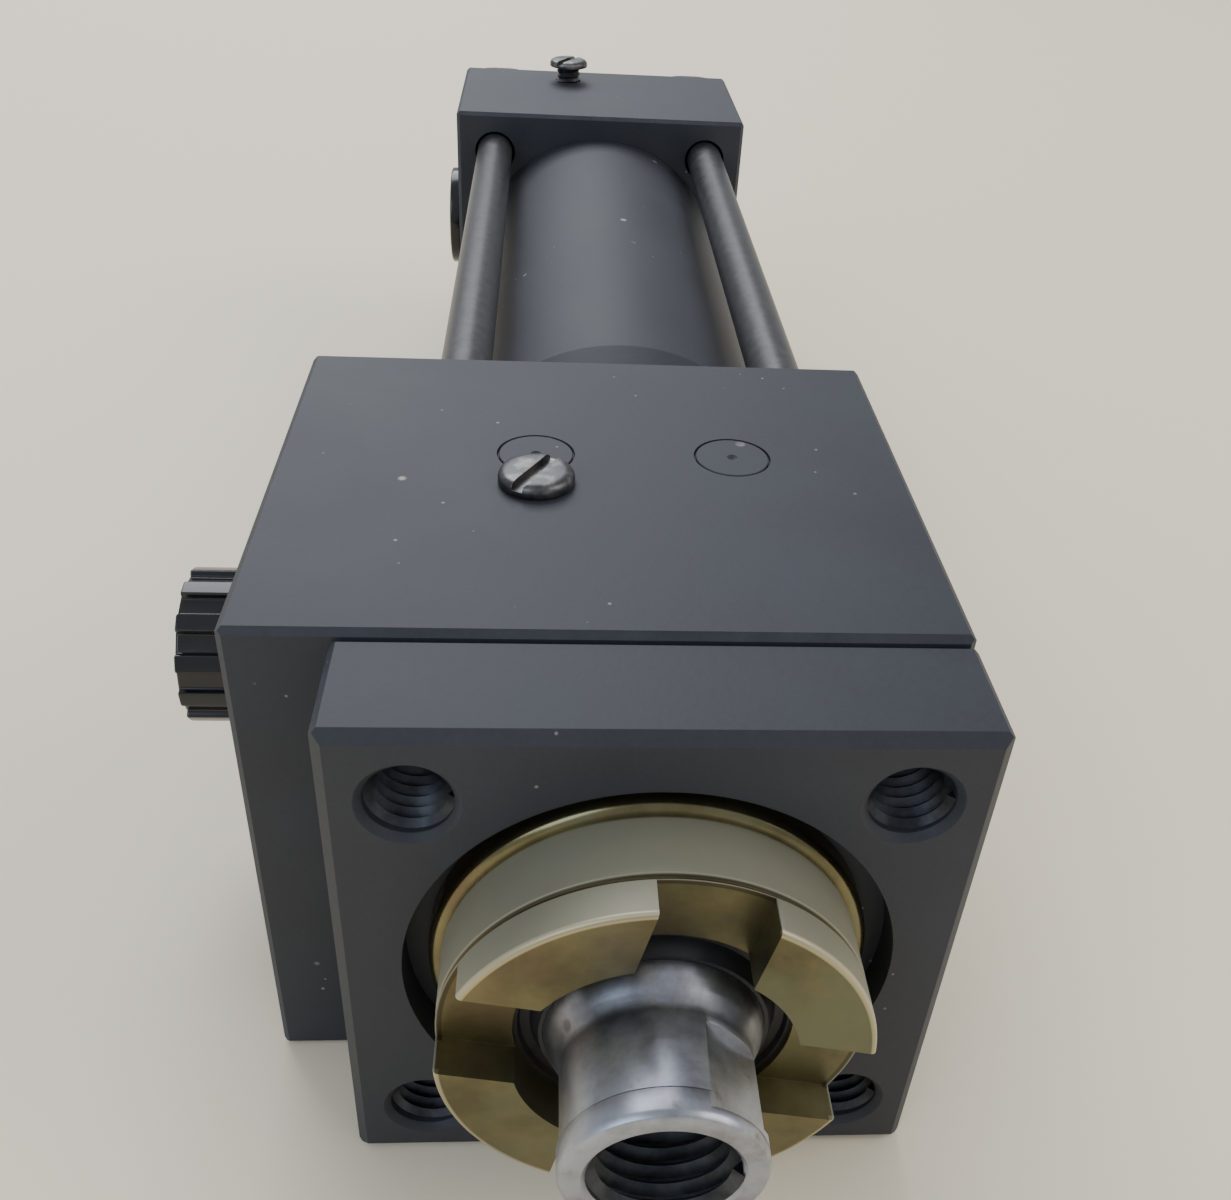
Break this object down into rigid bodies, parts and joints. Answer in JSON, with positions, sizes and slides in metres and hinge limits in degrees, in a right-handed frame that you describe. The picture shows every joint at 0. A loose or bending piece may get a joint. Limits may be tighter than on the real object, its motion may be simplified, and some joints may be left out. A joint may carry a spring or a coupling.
{
  "type": "hydraulic cylinder",
  "caption": "Square-headed tie-rod hydraulic cylinder with a threaded rod end, adjustable end cushions and a plate with tapped mounting holes.",
  "frame": {"origin": "on the piston rod's axis, at the front face of the front plate, where the mounting bolt pattern is", "axes": "the rod points to -Y, the rear cap is at +Y, +Z is the side with the cushion needles, and the ports face -X"},
  "size_m": [0.0635, 0.1964, 0.0484],
  "materials": {
    "black_paint": "satin black stoving paint, chipped at the edges",
    "black_rods": "satin black paint over steel",
    "yellow_zinc": "yellow chromated zinc on turned steel",
    "rod_steel": "hard chromed rod with a turned steel end",
    "machined_steel": "machined",
    "blued_steel": "dark oiled steel",
    "bronze": "turned bronze",
    "plug_plastic": "glossy black moulded plastic",
    "wiper_polymer": "matt polyurethane",
    "guide_resin": "fabric resin",
    "black_rubber": "matt nitrile rubber"
  },
  "bodies": {
    "cylinder": {"front_plate": "black_paint", "head_block": "black_paint", "gland_nut": "yellow_zinc", "gland_o_ring": "black_rubber", "gland_bush": "bronze", "wiper": "wiper_polymer", "rod_seal": "wiper_polymer", "barrel": "black_paint", "front_barrel_gasket": "black_rubber", "rear_barrel_gasket": "black_rubber", "tie_rod_1": "black_rods", "tie_rod_2": "black_rods", "tie_rod_3": "black_rods", "tie_rod_4": "black_rods", "tie_rod_nuts": "black_rods", "tie_rod_washers": "black_rods", "rear_cap": "black_paint", "rear_port_plug": "plug_plastic", "rear_port_washer": "black_rubber", "drilling_plug": "black_paint", "front_check_plug": "black_paint", "rear_check_plug": "black_paint"},
    "piston_rings": {"piston_guide_ring": "guide_resin", "piston_seal": "wiper_polymer"},
    "rod": {"piston_rod": "rod_steel", "piston": "machined_steel", "front_cushion_sleeve": "machined_steel", "rear_cushion_spear": "machined_steel"},
    "front_needle_seal": {"front_needle_o_ring": "black_rubber"},
    "front_needle_screw": {"front_needle": "blued_steel"},
    "rear_needle_seal": {"rear_needle_o_ring": "black_rubber"},
    "rear_needle_screw": {"rear_needle": "blued_steel"},
    "front_ball": {"front_check_ball": "machined_steel"},
    "rear_ball": {"rear_check_ball": "machined_steel"},
    "port_plug": {"front_port_plug": "plug_plastic", "front_port_washer": "black_rubber"}
  },
  "joints": [
    {"name": "rod_slide", "type": "slide", "parent": "cylinder", "child": "piston_rings", "axis": [0, -1, 0], "range_m": [0, 0.08]},
    {"name": "rod_turn", "type": "hinge", "parent": "piston_rings", "child": "rod", "pos_m": [0, 0, 0], "axis": [0, -1, 0], "continuous": true},
    {"name": "front_needle_travel", "type": "slide", "parent": "cylinder", "child": "front_needle_seal", "axis": [0, 0, 1], "range_m": [-0.00008, 0.0014]},
    {"name": "front_needle_turn", "type": "hinge", "parent": "front_needle_seal", "child": "front_needle_screw", "pos_m": [-0.00875, 0.0306, 0.023], "axis": [0, 0, 1], "range_deg": [-40, 640]},
    {"name": "rear_needle_travel", "type": "slide", "parent": "cylinder", "child": "rear_needle_seal", "axis": [0, 0, 1], "range_m": [-0.00008, 0.0014]},
    {"name": "rear_needle_turn", "type": "hinge", "parent": "rear_needle_seal", "child": "rear_needle_screw", "pos_m": [-0.005, 0.1675, 0.0225], "axis": [0, 0, 1], "range_deg": [-40, 640]},
    {"name": "front_ball_lift", "type": "slide", "parent": "cylinder", "child": "front_ball", "axis": [0, 0, 1], "range_m": [0, 0.0008]},
    {"name": "rear_ball_lift", "type": "slide", "parent": "cylinder", "child": "rear_ball", "axis": [1, 0, 0], "range_m": [0, 0.0008]},
    {"name": "port_plug_out", "type": "slide", "parent": "cylinder", "child": "port_plug", "axis": [-1, 0, 0], "range_m": [0, 0.012]}
  ],
  "couplings": [
    {"joint": "front_needle_turn", "follows": "front_needle_travel", "rad_per_m": 7854},
    {"joint": "rear_needle_turn", "follows": "rear_needle_travel", "rad_per_m": 7854}
  ]
}
